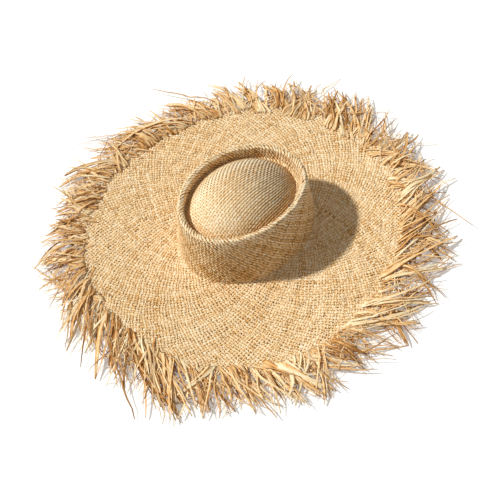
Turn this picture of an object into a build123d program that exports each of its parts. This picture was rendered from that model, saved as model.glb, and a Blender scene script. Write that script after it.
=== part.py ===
"""Wide-brimmed raffia sun hat with a telescope crown and a long frayed fringe.

Millimetres, +Z up through the crown. The origin is the centre of the head opening, on the plane
that the brim rests on. The wearer's face is towards -Y and the long axis of the head runs along Y.
"""

from build123d import *
import math
import os

# --- woven straw -------------------------------------------------------------------------------
strand_thickness = 0.9  # one flattened raffia strand
crossing_gap = 0.2  # between the two families of strands, where one passes over the other
straw = 2 * strand_thickness + crossing_gap  # thickness of the plain weave
weave_gap = 0.2  # between two pieces of weave that meet on a curved face

# --- head opening and crown --------------------------------------------------------------------
head_length = 200.0  # inside the weave, front to back, about 57 cm round
head_width = 164.0  # inside the weave, side to side
break_radius = 3.0  # where the crown turns out into the brim
crown_height = 85.0  # resting plane to the top of the rolled rim
rim_length = 190.0  # outside the rolled rim, front to back
rim_width = 150.0  # outside the rolled rim, side to side
roll_radius = 4.5  # outside radius of the rolled rim
channel_depth = 19.0  # top of the rolled rim down to the floor of the channel
channel_width = 6.0  # clear width between the rolled rim and the dome
dome_rise = 36.0  # floor of the channel up to the top of the dome

# --- brim --------------------------------------------------------------------------------------
brim_length = 456.0  # to the last woven crossing, front to back
brim_width = 431.0  # to the last woven crossing, side to side
brim_forward = 5.0  # the brim is wider in front than behind by twice this
edge_stitch_inset = 5.0  # lock stitch to the woven edge
edge_stitch_count = 180
edge_stitch_length = 4.6
thread = 0.5  # thickness of the sewing thread

# --- fringe ------------------------------------------------------------------------------------
tuft_count = 36
ends_per_tuft = 5  # in each of the two slants
end_width = 3.4  # of a raffia end where it leaves the weave
end_length = 80.0  # mean length of a raffia end
end_length_lean = 13.0  # the fringe is longer on one side
end_length_wave = 6.0  # slow change of length round the brim
end_length_jitter = 8.0  # change of length from one end to the next
end_slant = 42.0  # degrees from straight out
end_slant_wave = 5.0  # degrees, slow change round the brim
longest_side = -20.0  # degrees from +X, where the fringe is longest
tip_share = 0.3  # width of an end at its tip, as a share of its root
waist_share = 0.85  # width of an end at its waist
waist_at = 0.55  # place of the waist along the end

# --- sweatband ---------------------------------------------------------------------------------
band_height = 30.0
band_thickness = 0.8
band_clearance = 0.3  # from the straw
band_rise = 2.0  # lower edge of the band above the end of the break
seam_width = 14.0  # cover over the joint of the band, at the back
band_stitch_count = 110
band_stitch_length = 3.0
band_stitch_inset = 3.0  # stitches to the lower edge of the band
tab_width = 16.0
tab_height = 22.0
tab_thickness = 0.4

# --- derived places ----------------------------------------------------------------------------
break_top = straw + break_radius
roll_base = crown_height - roll_radius
floor_top = crown_height - channel_depth
brim_long = brim_length / 2
brim_short = brim_width / 2
base_long = head_length / 2 + straw  # outside half-lengths of the side wall at its foot
base_short = head_width / 2 + straw
rim_long = rim_length / 2
rim_short = rim_width / 2
fold = 2 * roll_radius + channel_width  # outside of the rolled rim in to the foot of the dome
dome_long = rim_long - fold
dome_short = rim_short - fold

os.makedirs("parts", exist_ok=True)


def oval(short, long, z):
    """Closed oval edge, short half-length across and long half-length front to back."""
    return Edge.make_ellipse(short, long, Plane((0, 0, z)))


def edge_place(turn, inset):
    """Place on the woven edge, less an inset, with X straight out and Y along the edge."""
    x = (brim_short - inset) * math.cos(turn)
    y = (brim_long - inset) * math.sin(turn)
    heading = math.atan2(brim_short * math.sin(turn), brim_long * math.cos(turn))
    return Pos(x, y - brim_forward, 0) * Rot(0, 0, math.degrees(heading))


def oval_face(short, long, z):
    """Flat oval."""
    return Face(Wire([oval(short, long, z)]))


def tapered(foot, foot_z, top, top_z):
    """Solid between two ovals, each given as its short and long half-lengths."""
    return Solid.make_loft([Wire([oval(*foot, foot_z)]), Wire([oval(*top, top_z)])], True)


def wall_at(z, inset):
    """Half-lengths of the side wall's outside at a height, less an inset."""
    share = (z - break_top) / (roll_base - break_top)
    short = base_short + share * (rim_short - base_short)
    long = base_long + share * (rim_long - base_long)
    return short - inset, long - inset


def wall_layer(low, high, outer, inner):
    """Tapered ring between two insets from the side wall's outside."""
    outside = tapered(wall_at(low, outer), low, wall_at(high, outer), high)
    inside = tapered(wall_at(low, inner), low, wall_at(high, inner), high)
    return outside - inside


def swept_round(profile, short, long, z):
    """Ring made by taking a profile, drawn at the +X end of an oval, once round that oval."""
    return sweep(profile, path=oval(short, long, z))


def side_wall():
    """The crown's upright, slightly tapered wall."""
    return wall_layer(break_top, roll_base, 0, straw)


def rolled_rim():
    """The fold at the top of the crown, and its inner leg down to the channel."""
    short = rim_short - roll_radius
    long = rim_long - roll_radius
    section = Plane((short, 0, roll_base), x_dir=(1, 0, 0), z_dir=(0, -1, 0))
    inner = roll_radius - straw
    leg = roll_base - floor_top
    with BuildSketch(section) as profile:
        with BuildLine():
            Line((roll_radius, 0), (inner, 0))
            ThreePointArc((inner, 0), (0, inner), (-inner, 0))
            Line((-inner, 0), (-inner, -leg))
            Line((-inner, -leg), (-roll_radius, -leg))
            Line((-roll_radius, -leg), (-roll_radius, 0))
            ThreePointArc((-roll_radius, 0), (0, roll_radius), (roll_radius, 0))
        make_face()
    return swept_round(profile.sketch.face(), short, long, roll_base)


def channel():
    """Floor of the channel, under the rolled rim's inner leg and the foot of the dome."""
    reach = 2 * roll_radius - straw
    outside = oval_face(rim_short - reach, rim_long - reach, floor_top - straw)
    hole = oval_face(dome_short - straw, dome_long - straw, floor_top - straw)
    return extrude(outside - hole, straw)


def dome():
    """Oval dome in the middle of the crown: the cap of a ball, drawn out front to back."""
    ball = (dome_short**2 + dome_rise**2) / (2 * dome_rise)
    stretch = (dome_long - straw) / (dome_short - straw)
    outside = Solid.make_sphere(ball).scale((1, dome_long / dome_short, 1))
    inside = Solid.make_sphere(ball - straw).scale((1, stretch, 1))
    shell = Pos(0, 0, dome_rise - ball) * (outside - inside)
    above = Box(rim_width, rim_length, 2 * dome_rise, align=(Align.CENTER, Align.CENTER, Align.MIN))
    return Pos(0, 0, floor_top) * (shell & above)


def crown_break():
    """The turn from the side wall into the brim."""
    section = Plane((base_short, 0, 0), x_dir=(1, 0, 0), z_dir=(0, -1, 0))
    outer = break_radius + straw
    diagonal = math.sqrt(0.5)
    with BuildSketch(section) as profile:
        with BuildLine():
            Line((0, break_top), (-straw, break_top))
            near = (break_radius - outer * diagonal, break_top - outer * diagonal)
            ThreePointArc((-straw, break_top), near, (break_radius, 0))
            Line((break_radius, 0), (break_radius, straw))
            far = (break_radius - break_radius * diagonal, break_top - break_radius * diagonal)
            ThreePointArc((break_radius, straw), far, (0, break_top))
        make_face()
    return swept_round(profile.sketch.face(), base_short, base_long, 0)


def brim():
    """Flat oval brim with the oval opening of the break."""
    hole = break_radius + weave_gap
    plate = Pos(0, -brim_forward, 0) * oval_face(brim_short, brim_long, 0)
    opening = oval_face(base_short + hole, base_long + hole, 0)
    return extrude(plate - opening, straw)


def edge_stitches():
    """Lock stitches on the brim, just inside the woven edge."""
    stitch = Box(thread, edge_stitch_length, thread, align=(Align.CENTER, Align.CENTER, Align.MIN))
    stitch = Pos(0, 0, straw) * stitch
    turns = [2 * math.pi * index / edge_stitch_count for index in range(edge_stitch_count)]
    return Compound([edge_place(turn, edge_stitch_inset) * stitch for turn in turns])


def raffia_end(index, lean):
    """One loose end: lean is +1 or -1, for the family of strands that it belongs to."""
    step = 360 / (tuft_count * ends_per_tuft)
    turn = math.radians((index + 0.25 * lean) * step)
    slow = math.sin(3 * turn + lean)
    length = end_length + end_length_lean * math.cos(turn - math.radians(longest_side))
    length += end_length_wave * slow + end_length_jitter * math.sin(2.4 * index + lean)
    slant = math.radians(end_slant + end_slant_wave * math.sin(4 * turn - lean)) * lean
    along = Vector(math.cos(slant), math.sin(slant))
    across = Vector(-math.sin(slant), math.cos(slant))
    foot = Vector(weave_gap, 0)
    half_foot = Vector(0, end_width / 2 / math.cos(slant))
    waist = foot + along * length * waist_at
    half_waist = across * (end_width * waist_share / 2)
    tip = foot + along * length
    half_tip = across * (end_width * tip_share / 2)
    points = [foot - half_foot, waist - half_waist, tip - half_tip, tip + half_tip, waist + half_waist]
    outline = Wire.make_polygon([*points, foot + half_foot], close=True)
    bottom = 0 if lean > 0 else strand_thickness + crossing_gap
    return edge_place(turn, 0) * Pos(0, 0, bottom) * extrude(Face(outline), strand_thickness)


def tuft(number):
    """Raffia ends of one stretch of the woven edge, in both slants."""
    first = number * ends_per_tuft
    members = range(first, first + ends_per_tuft)
    return Compound([raffia_end(index, lean) for index in members for lean in (1, -1)])


band_low = break_top + band_rise
band_high = band_low + band_height
band_outer = straw + band_clearance
band_inner = band_outer + band_thickness


def sweatband():
    """Tape round the inside of the head opening."""
    return wall_layer(band_low, band_high, band_outer, band_inner)


def back_seam():
    """Short cover of the same tape over the joint at the back of the band."""
    cover = band_inner + band_clearance
    layer = wall_layer(band_low, band_high, cover, cover + band_thickness)
    at_back = Pos(0, head_length / 2, band_low) * Box(seam_width, head_length, 4 * band_height)
    return layer & at_back


def band_stitches():
    """Stitches along the lower edge of the band, clear of the seam cover."""
    height = band_low + band_stitch_inset
    short, long = wall_at(height, band_inner + crossing_gap + thread / 2)
    stitch = Box(band_stitch_length, thread, thread)
    placed = []
    for index in range(band_stitch_count):
        turn = 2 * math.pi * (index + 0.5) / band_stitch_count
        x = short * math.cos(turn)
        y = long * math.sin(turn)
        if y > 0 and abs(x) < seam_width / 2 + band_stitch_length:
            continue
        heading = math.degrees(math.atan2(long * math.cos(turn), -short * math.sin(turn)))
        placed.append(Pos(x, y, height) * Rot(0, 0, heading) * stitch)
    return Compound(placed)


def size_tab():
    """Blank woven tab that hangs against the seam cover."""
    middle = band_high - tab_height / 2
    inset = band_inner + 2 * band_clearance + band_thickness + tab_thickness / 2
    lower = wall_at(middle - tab_height / 2, inset)[1]
    upper = wall_at(middle + tab_height / 2, inset)[1]
    lean = math.degrees(math.atan2(lower - upper, tab_height))
    bowed = max(tab_width, seam_width)
    sag = bowed**2 / 8 * rim_long / rim_short**2  # rise of the band's curve across the tab
    tab = Box(tab_width, tab_thickness, tab_height)
    return Pos(0, (lower + upper) / 2 - sag, middle) * Rot(lean, 0, 0) * tab


pieces = {
    "crown_tip_dome": dome(),
    "crown_channel": channel(),
    "crown_rolled_rim": rolled_rim(),
    "crown_side_wall": side_wall(),
    "crown_break": crown_break(),
    "brim": brim(),
    "brim_edge_stitches": edge_stitches(),
    "sweatband": sweatband(),
    "sweatband_back_seam": back_seam(),
    "sweatband_stitches": band_stitches(),
    "size_tab": size_tab(),
}
for number in range(tuft_count):
    pieces[f"fringe_tuft_{number + 1:02d}"] = tuft(number)

for name, shape in pieces.items():
    export_step(shape, f"parts/{name}.step")
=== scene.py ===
"""Looks of a wide-brimmed raffia sun hat with a telescope crown and a long frayed fringe.

Everything is in metres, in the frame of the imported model: +Z up through the crown, the wearer's
face towards -Y, and the origin at the centre of the head opening, on the plane the hat lies on.
"""

import logging
import math
from dataclasses import dataclass, field
from enum import Enum

import bpy
import numpy as np
from bpy.types import Material, Node, NodeSocket, NodeTree, Object
from mathutils import Matrix, Vector


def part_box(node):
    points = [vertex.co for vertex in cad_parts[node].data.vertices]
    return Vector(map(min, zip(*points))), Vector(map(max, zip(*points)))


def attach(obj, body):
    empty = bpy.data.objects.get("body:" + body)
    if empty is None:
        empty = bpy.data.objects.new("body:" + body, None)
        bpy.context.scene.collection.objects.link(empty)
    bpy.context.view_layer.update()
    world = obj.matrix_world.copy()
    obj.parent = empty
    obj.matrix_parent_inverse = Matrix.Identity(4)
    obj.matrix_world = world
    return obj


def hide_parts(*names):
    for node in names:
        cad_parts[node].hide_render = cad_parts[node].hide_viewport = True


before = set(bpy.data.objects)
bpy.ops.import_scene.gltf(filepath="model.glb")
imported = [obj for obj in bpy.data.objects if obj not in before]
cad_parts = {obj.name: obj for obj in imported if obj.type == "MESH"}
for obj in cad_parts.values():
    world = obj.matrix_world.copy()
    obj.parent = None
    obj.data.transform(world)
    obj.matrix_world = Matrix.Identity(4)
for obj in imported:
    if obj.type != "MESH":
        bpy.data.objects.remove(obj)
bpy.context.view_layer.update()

MM = 0.001
TAU = 2 * math.pi
SEED = 41
BODY = "root"
UP = np.array([0.0, 0.0, 1.0])
Array = np.ndarray
Wave = tuple[float, float, float, float]
Colour = tuple[float, float, float]

SWIRL_WAVES: tuple[Wave, ...] = ((0.6, 17, -210, 1.3), (0.5, 31, 330, 0.0))
PULL_WAVES: tuple[Wave, ...] = ((1.0, 11, 120, 0.7), (0.6, 23, -260, 0.0), (0.4, 41, 190, 2.0))
BRIM_WAVES: tuple[Wave, ...] = ((0.42, 3, 0, 0.6), (0.26, 5, 0, 2.1), (0.2, 2, 0, -0.9))

logging.basicConfig(level=logging.INFO, format="%(levelname)s %(message)s")
log = logging.getLogger("raffia_hat")


class Family(Enum):
    """One of the two sets of strands that cross in the weave, by the way it turns going outward."""

    RISING = 1
    FALLING = -1


def smoothstep(value: Array) -> Array:
    """Clamp to 0..1 and ease at both ends."""
    clamped = np.clip(value, 0.0, 1.0)
    return clamped * clamped * (3 - 2 * clamped)


def unit(vectors: Array) -> Array:
    """Vectors scaled to length 1 along the last axis."""
    lengths = np.linalg.norm(vectors, axis=-1, keepdims=True)
    return vectors / np.maximum(lengths, 1e-12)


def oval_length(short: Array, long: Array) -> Array:
    """Length of an oval's edge from its two half-lengths, by Ramanujan's formula."""
    return math.pi * (3 * (short + long) - np.sqrt((3 * short + long) * (short + 3 * long)))


def rippled(waves: tuple[Wave, ...], angle: Array, run: Array | float) -> Array:
    """Sum of waves that go round the hat and outward.

    Args:
        waves: size, waves once round, radians a metre outward, and phase of each.
        angle: where round the hat, in radians.
        run: how far out.

    Returns:
        The sum at each place.
    """
    return sum(size * np.sin(around * angle + outward * run + phase)
               for size, around, outward, phase in waves)


def linked(name: str, data: bpy.types.ID) -> Object:
    """Make an object of a mesh, lamp or camera, and link it to the scene."""
    made = bpy.data.objects.new(name, data)
    bpy.context.scene.collection.objects.link(made)
    return made


# ---- Form of the hat ----


@dataclass
class HatForm:
    """Middle surface of the weave from the foot of the dome out to the woven edge.

    A place on it is (run, turn): run is the distance along the profile from the foot of the
    dome, and turn goes once round, in whole turns from +X towards +Y.
    """

    straw: float = 2.0 * MM
    channel_radius: float = 3.0 * MM
    front_rise: float = 2.9 * MM
    saddle: float = 2.9 * MM
    brim_lift: float = 5.5 * MM
    lump: float = 0.35 * MM
    lift: float = 0.25 * MM
    edge_wander: float = 3.5 * MM
    weave_wander: float = 0.9 * MM
    dome_slope: float = 32.0
    dome_offset: tuple[float, float] = (-2.1 * MM, -2.9 * MM)
    profile_steps: int = 24
    run: Array = field(init=False)
    stations: Array = field(init=False)
    borders: dict[str, float] = field(init=False)

    def __post_init__(self) -> None:
        """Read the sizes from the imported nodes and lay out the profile."""
        half = self.straw / 2
        wall_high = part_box("crown_side_wall")[1]
        rim_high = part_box("crown_rolled_rim")[1]
        dome_low, dome_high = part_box("crown_tip_dome")
        brim_low, brim_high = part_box("brim")
        self.height = rim_high[2]
        self.dome_top = dome_high[2]
        roll = rim_high[2] - wall_high[2]
        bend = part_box("crown_break")[1][0] - wall_high[0] + half
        low = dome_low[2] - half + self.channel_radius
        hollow = np.array(dome_high[:2]) + self.channel_radius
        fold = np.array(rim_high[:2]) - roll
        turn = np.array(wall_high[:2]) + bend - half
        steep = math.pi - math.radians(self.dome_slope)
        edge = [(brim_high[0] - brim_low[0]) / 2, (brim_high[1] - brim_low[1]) / 2, half,
                (brim_high[1] + brim_low[1]) / 2]
        self.stations = np.vstack([
            self._arc(hollow, low, self.channel_radius, steep, 0.0, -1),
            self._arc(fold, wall_high[2], roll - half, math.pi, 0.0, 1),
            self._arc(turn, half + bend, bend, math.pi, math.pi / 2, -1),
            edge,
        ])
        gaps = np.diff(self.stations[:, :3], axis=0)
        steps = [np.linalg.norm(gaps[:, [axis, 2]], axis=1) for axis in (0, 1)]
        self.run = np.concatenate([[0], np.cumsum((steps[0] + steps[1]) / 2)])
        count = self.profile_steps + 1
        ends = {"floor": count - 1, "rim": 2 * count - 1, "wall": 2 * count,
                "break": 3 * count - 1, "edge": -1}
        self.borders = {name: float(self.run[place]) for name, place in ends.items()}

    def _arc(self, centre: Array, height: float, radius: float,
             start: float, end: float, way: int) -> Array:
        """Stations along an arc of the profile.

        Args:
            centre: short and long half-lengths of the oval that the arc turns about.
            height: height of the centre.
            radius: radius of the arc.
            start: angle at which it begins, from straight outward.
            end: angle at which it ends.
            way: 1 over the top, -1 under the bottom.

        Returns:
            Rows of short half-length, long half-length, height and shift.
        """
        angles = np.linspace(start, end, self.profile_steps + 1)
        reach = radius * np.cos(angles)
        rise = way * radius * np.sin(angles)
        return np.column_stack([centre[0] + reach, centre[1] + reach, height + rise, 0 * reach])

    def settled(self, run: Array, turn: Array) -> tuple[Array, Array]:
        """Place of a crossing once the hand weave has pulled it a little to one side."""
        angle = TAU * turn
        girth = oval_length(*self.oval(run)[:2])
        swirl = np.sin(7 * angle + 95 * run) * np.sin(160 * run + 3 * angle)
        swirl = swirl + rippled(SWIRL_WAVES, angle, run)
        pull = rippled(PULL_WAVES, angle, run)
        return run + 0.6 * self.weave_wander * pull, turn + self.weave_wander * swirl / girth

    def oval(self, run: Array) -> tuple[Array, ...]:
        """Short and long half-lengths, height and shift of the oval at a run."""
        return tuple(np.interp(run, self.run, self.stations[:, column]) for column in range(4))

    def girth(self, run: float) -> float:
        """Length once round the hat at a run."""
        short, long, _, _ = self.oval(np.asarray(run))
        return float(oval_length(short, long))

    def offset(self, run: Array) -> tuple[Array, Array]:
        """How far hand shaping has set the dome and channel off the crown's middle, in x and y."""
        begins_to_roll = self.run[self.profile_steps + 1]
        share = 1 - smoothstep(run / begins_to_roll)
        return share * self.dome_offset[0], share * self.dome_offset[1]

    def point(self, run: Array, turn: Array) -> Array:
        """Points of the middle surface."""
        short, long, height, shift = self.oval(run)
        spread = (long**2 - short**2) / (2 * (long**2 + short**2))
        angle = TAU * turn - spread / 2 * np.sin(2 * TAU * turn)
        start, edge = self.borders["break"], self.borders["edge"]
        out = np.clip((run - start) / (edge - start), 0, 1.2)
        wander = self.edge_wander * out * np.sin(3 * angle + math.pi)
        offset = self.offset(run)
        x = (short + wander) * np.cos(angle) + offset[0]
        y = (long + wander) * np.sin(angle) + shift + offset[1]
        tilt = self.saddle * np.cos(2 * angle) - self.front_rise * np.sin(angle)
        z = height + self.lift + tilt * height / self.height
        z = z + self.brim_lift * out**1.4 * (1 + rippled(BRIM_WAVES, angle, 0))
        z = z + self.lump * np.sin(23 * angle + 90 * run) * np.sin(260 * run + 5 * angle)
        return np.stack([x, y, z], axis=-1)

    def normal(self, run: Array, turn: Array) -> Array:
        """Directions off the surface, to the outside of the hat."""
        ahead = self.point(run + 0.4 * MM, turn) - self.point(run - 0.4 * MM, turn)
        round_ = self.point(run, turn + 1e-4) - self.point(run, turn - 1e-4)
        return unit(np.cross(ahead, round_))


# ---- Meshes made of strands ----


def mesh_object(name: str, points: Array, faces: list[Array],
                layers: dict[str, Array], material: Material) -> Object:
    """Make an object from points and faces.

    Args:
        name: name of the object.
        points: its points, one a row.
        faces: its faces, one a row, in arrays of faces with as many corners.
        layers: texture coordinates of all corners, by the name of the layer.
        material: its finish.

    Returns:
        The new object, linked to the scene.
    """
    corners = np.concatenate([group.ravel() for group in faces])
    sizes = np.concatenate([np.full(len(group), group.shape[1]) for group in faces])
    mesh = bpy.data.meshes.new(name)
    mesh.vertices.add(len(points))
    mesh.vertices.foreach_set("co", points.astype(np.float32).ravel())
    mesh.loops.add(len(corners))
    mesh.loops.foreach_set("vertex_index", corners.astype(np.int32))
    mesh.polygons.add(len(sizes))
    mesh.polygons.foreach_set("loop_start", (np.cumsum(sizes) - sizes).astype(np.int32))
    mesh.polygons.foreach_set("use_smooth", np.ones(len(sizes), dtype=bool))
    mesh.update(calc_edges=True)
    for layer_name, places in layers.items():
        layer = mesh.uv_layers.new(name=layer_name)
        layer.data.foreach_set("uv", places.astype(np.float32).ravel())
    mesh.materials.append(material)
    log.info("%s: %d faces", name, len(sizes))
    return linked(name, mesh)


@dataclass
class StrandMesh:
    """Collects flat lens-shaped strands and makes one mesh object of them.

    Each strand has a cell of its own in the bake coordinates, with a margin round it. In the
    strand coordinates each one starts a little farther on, so that no two look alike.
    """

    name: str
    sides: int = 4
    margin: tuple[float, float] = (0.04, 0.06)
    filled: tuple[float, float] = (0.92, 0.88)
    end_corners: tuple[tuple[float, float], ...] = ((0, 0), (0, 0.2), (0.01, 0.2), (0.01, 0))
    stagger: float = 0.37
    blocks: list[tuple[Array, ...]] = field(default_factory=list)

    def add(self, centres: Array, normals: Array, widths: Array,
            thickness: Array | float, tones: Array) -> None:
        """Add strands that all have the same number of points.

        Args:
            centres: points along each strand, strands x points x 3.
            normals: directions off each strand's flat face, the same shape.
            widths: strands x points.
            thickness: strands x points, or one value.
            tones: one value from 0 to 1 for each strand, or for each of its points.
        """
        tangents = unit(np.gradient(centres, axis=1))
        across = unit(np.cross(normals, tangents))
        upward = unit(np.cross(tangents, across))
        half_wide = (np.broadcast_to(widths, centres.shape[:2]) / 2)[..., None]
        half_thick = (np.broadcast_to(thickness, centres.shape[:2]) / 2)[..., None]
        ring = [centres - across * half_wide, centres + upward * half_thick,
                centres + across * half_wide, centres - upward * half_thick]
        lengths = np.linalg.norm(np.diff(centres, axis=1), axis=-1)
        along = np.concatenate([np.zeros((len(centres), 1)), np.cumsum(lengths, axis=1)], axis=1)
        tones = np.asarray(tones, float)
        tones = tones if tones.ndim == 2 else np.repeat(tones[:, None], centres.shape[1], axis=1)
        self.blocks.append((np.stack(ring, axis=2), along, tones))

    def build(self, material: Material) -> Object:
        """Make the object, with its strand and bake coordinates and its tones.

        Args:
            material: finish of every strand.

        Returns:
            The new object, linked to the scene.
        """
        strands = sum(len(block[0]) for block in self.blocks)
        columns = max(1, int(math.sqrt(strands / 4)))
        grid = np.array([columns, math.ceil(strands / columns)])
        faces, bake, flat = [], [], []
        base, placed = 0, 0
        for ring, along, _ in self.blocks:
            count, steps, sides, _ = ring.shape
            index = base + np.arange(count * steps * sides).reshape(count, steps, sides)
            after = np.roll(index, -1, axis=2)
            side_faces = [index[:, :-1], after[:, :-1], after[:, 1:], index[:, 1:]]
            faces += [np.stack(side_faces, axis=-1), index[:, 0, ::-1], index[:, -1]]
            cell = placed + np.arange(count)
            corner = np.stack([cell % columns, cell // columns], axis=-1) + self.margin
            side = np.arange(sides + 1) / sides
            across = np.stack([side[:-1], side[1:], side[1:], side[:-1]], axis=-1)
            share = self._corners(along / np.maximum(along[:, -1:], 1e-9))
            inside = np.stack(np.broadcast_arrays(share, across), axis=-1) * self.filled
            bake.append((corner[:, None, None, None] + inside) / grid)
            started = self._corners(along) + cell[:, None, None, None] * self.stagger
            flat.append(np.stack(np.broadcast_arrays(started, across), axis=-1))
            for end in ((0, 0), (self.filled[0], 0)):
                bake.append(((corner + end)[:, None] + self.end_corners) / grid)
                flat.append(bake[-1] * 0.01)
            base += count * steps * sides
            placed += count
        layers = {name: np.concatenate([part.reshape(-1, 2) for part in parts])
                  for name, parts in (("OFBake", bake), ("strand", flat))}
        points = np.concatenate([block[0].reshape(-1, 3) for block in self.blocks])
        quads = np.concatenate([part.reshape(-1, 4) for part in faces])
        made = mesh_object(self.name, points, [quads], layers, material)
        mesh = made.data
        ends = np.empty(len(mesh.edges) * 2, dtype=np.int32)
        mesh.edges.foreach_get("vertices", ends)
        ends = ends.reshape(-1, 2) % self.sides
        crisp = mesh.attributes.new("sharp_edge", "BOOLEAN", "EDGE")
        crisp.data.foreach_set("value", (ends[:, 0] == ends[:, 1]) & (ends[:, 0] % 2 == 0))
        tones = [np.repeat(block[2].ravel(), block[0].shape[2]) for block in self.blocks]
        tone_layer = mesh.attributes.new("tone", "FLOAT", "POINT")
        tone_layer.data.foreach_set("value", np.concatenate(tones).astype(np.float32))
        log.info("%s: %d strands", self.name, strands)
        return made

    @staticmethod
    def _corners(values: Array) -> Array:
        """Values at the corners of each face along a strand, the same on every side of it."""
        near, far = values[:, :-1], values[:, 1:]
        return np.stack([near, near, far, far], axis=-1)[:, :, None]


def dress(piece: Object, slot: str, *nodes: str) -> Object:
    """Fix a piece to the hat and let it stand for CAD nodes, which it hides."""
    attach(piece, BODY)
    if nodes:
        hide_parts(*nodes)
    return piece


# ---- Finishes ----


class NodeTable:
    """Short way to place and join shader nodes in a tree."""

    def __init__(self, tree: NodeTree) -> None:
        """Keep the tree to work in."""
        self.tree = tree

    def add(self, kind: str, inputs: dict | None = None, **values: object) -> Node:
        """Place a node.

        Args:
            kind: Blender's name of the node type.
            inputs: a socket or a value for each input, by its name or place.
            values: node settings by name.

        Returns:
            The new node.
        """
        node = self.tree.nodes.new(kind)
        for key, value in values.items():
            setattr(node, key, value)
        self.feed(node, inputs or {})
        return node

    def feed(self, node: Node, inputs: dict) -> None:
        """Join sockets to a node's inputs, or set the inputs' values."""
        for key, value in inputs.items():
            if isinstance(value, NodeSocket):
                self.tree.links.new(value, node.inputs[key])
            else:
                node.inputs[key].default_value = value

    def maths(self, operation: str, *terms: object) -> NodeSocket:
        """Place a maths node fed by sockets or numbers, and return its output."""
        return self.add("ShaderNodeMath", dict(enumerate(terms)), operation=operation).outputs[0]

    def noise(self, along: NodeSocket, across: NodeSocket,
              detail: float, roughness: float) -> NodeSocket:
        """Place a flat noise over two coordinates and return its value."""
        place = self.add("ShaderNodeCombineXYZ", {0: along, 1: across}).outputs[0]
        settings = {"Vector": place, "Scale": 1.0, "Detail": detail, "Roughness": roughness}
        return self.add("ShaderNodeTexNoise", settings, noise_dimensions="2D").outputs["Fac"]

    def bump(self, height: NodeSocket, strength: float,
             distance: float) -> NodeSocket:
        """Place a bump and return its normal."""
        settings = {"Height": height, "Strength": strength, "Distance": distance}
        return self.add("ShaderNodeBump", settings).outputs[0]

    def ramp(self, factor: NodeSocket,
             stops: tuple[tuple[float, Colour], ...]) -> NodeSocket:
        """Place a colour ramp with the given stops and return its colour."""
        node = self.add("ShaderNodeValToRGB", {0: factor})
        elements = node.color_ramp.elements
        while len(elements) < len(stops):
            elements.new(0.5)
        for element, (place, colour) in zip(elements, stops):
            element.position = place
            element.color = (*colour, 1)
        return node.outputs[0]


def new_material(name: str) -> tuple[Material, NodeTable, Node]:
    """Start a material, and return it with its node table and its shader."""
    material = bpy.data.materials.new(name)
    material.use_nodes = True
    return material, NodeTable(material.node_tree), material.node_tree.nodes["Principled BSDF"]


STREAKS_ALONG = 55.0
BLOTCHES_ALONG = 130.0
EDGE_SHADE_SHARPNESS = 2.2
BLOTCH_HEIGHT = 0.4


def fibre_group() -> NodeTree:
    """Node group of fine fibres along a strand: streaks, dry blotches, painted shade at the edges and a
    height.
    """
    existing = bpy.data.node_groups.get("raffia_fibres")
    if existing:
        return existing
    tree = bpy.data.node_groups.new("raffia_fibres", "ShaderNodeTree")
    tree.interface.new_socket("Fibres Across", in_out="INPUT", socket_type="NodeSocketFloat")
    for name in ("Streaks", "Blotches", "Edges", "Height"):
        tree.interface.new_socket(name, in_out="OUTPUT", socket_type="NodeSocketFloat")
    table = NodeTable(tree)
    given = table.add("NodeGroupInput")
    place = table.add("ShaderNodeUVMap", uv_map="strand")
    along, across, _ = table.add("ShaderNodeSeparateXYZ", {0: place.outputs[0]}).outputs
    streaks = table.noise(table.maths("MULTIPLY", along, STREAKS_ALONG),
                          table.maths("MULTIPLY", across, given.outputs[0]), 3.0, 0.65)
    blotches = table.noise(table.maths("MULTIPLY", along, BLOTCHES_ALONG), across, 2.0, 0.5)
    swing = table.maths("COSINE", table.maths("MULTIPLY", across, TAU))
    table.add("NodeGroupOutput", {
        "Streaks": streaks,
        "Blotches": blotches,
        # Painted shade: darker towards both long edges of each strand, where it meets its neighbours.
        "Edges": table.maths("POWER", table.maths("ABSOLUTE", swing), EDGE_SHADE_SHARPNESS),
        "Height": table.maths("MULTIPLY_ADD", blotches, BLOTCH_HEIGHT, streaks),
    })
    return tree


@dataclass(frozen=True)
class RaffiaFinish:
    """Dry split palm leaf: each strand has its own tone, with fibres along it.

    Colours are linear. The tone of a strand runs from 0, palest, to 1, darkest.
    """

    name: str
    stops: tuple[tuple[float, Colour], ...]
    fibres_across: float = 9.0
    streak_depth: float = 0.28
    blotch_depth: float = 0.22
    edge_shade_depth: float = 0.5
    roughness: float = 0.62
    roughness_swing: float = 0.24
    specular: float = 0.12
    bump: float = 0.25
    bump_height: float = 0.15 * MM

    def build(self) -> Material:
        """Make the material."""
        material, table, shader = new_material(self.name)
        fibres = table.add("ShaderNodeGroup", {0: self.fibres_across}, node_tree=fibre_group())
        shade = table.add("ShaderNodeAttribute", attribute_name="tone").outputs["Fac"]
        # Painted shade: the edge share darkens each strand along its sides, besides the fibre streaks
        # and blotches.
        for name, depth in (("Blotches", 2 * self.blotch_depth), ("Streaks", 2 * self.streak_depth),
                            ("Edges", self.edge_shade_depth)):
            shade = table.maths("MULTIPLY_ADD", fibres.outputs[name], depth, shade)
        shade = table.maths("SUBTRACT", shade, self.blotch_depth + self.streak_depth)
        table.feed(shader, {
            "Base Color": table.ramp(shade, self.stops),
            "Roughness": table.maths("MULTIPLY_ADD", fibres.outputs["Streaks"],
                                     self.roughness_swing,
                                     self.roughness - self.roughness_swing / 2),
            "Specular IOR Level": self.specular,
            "Normal": table.bump(fibres.outputs["Height"], self.bump, self.bump_height),
        })
        return material


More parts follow.
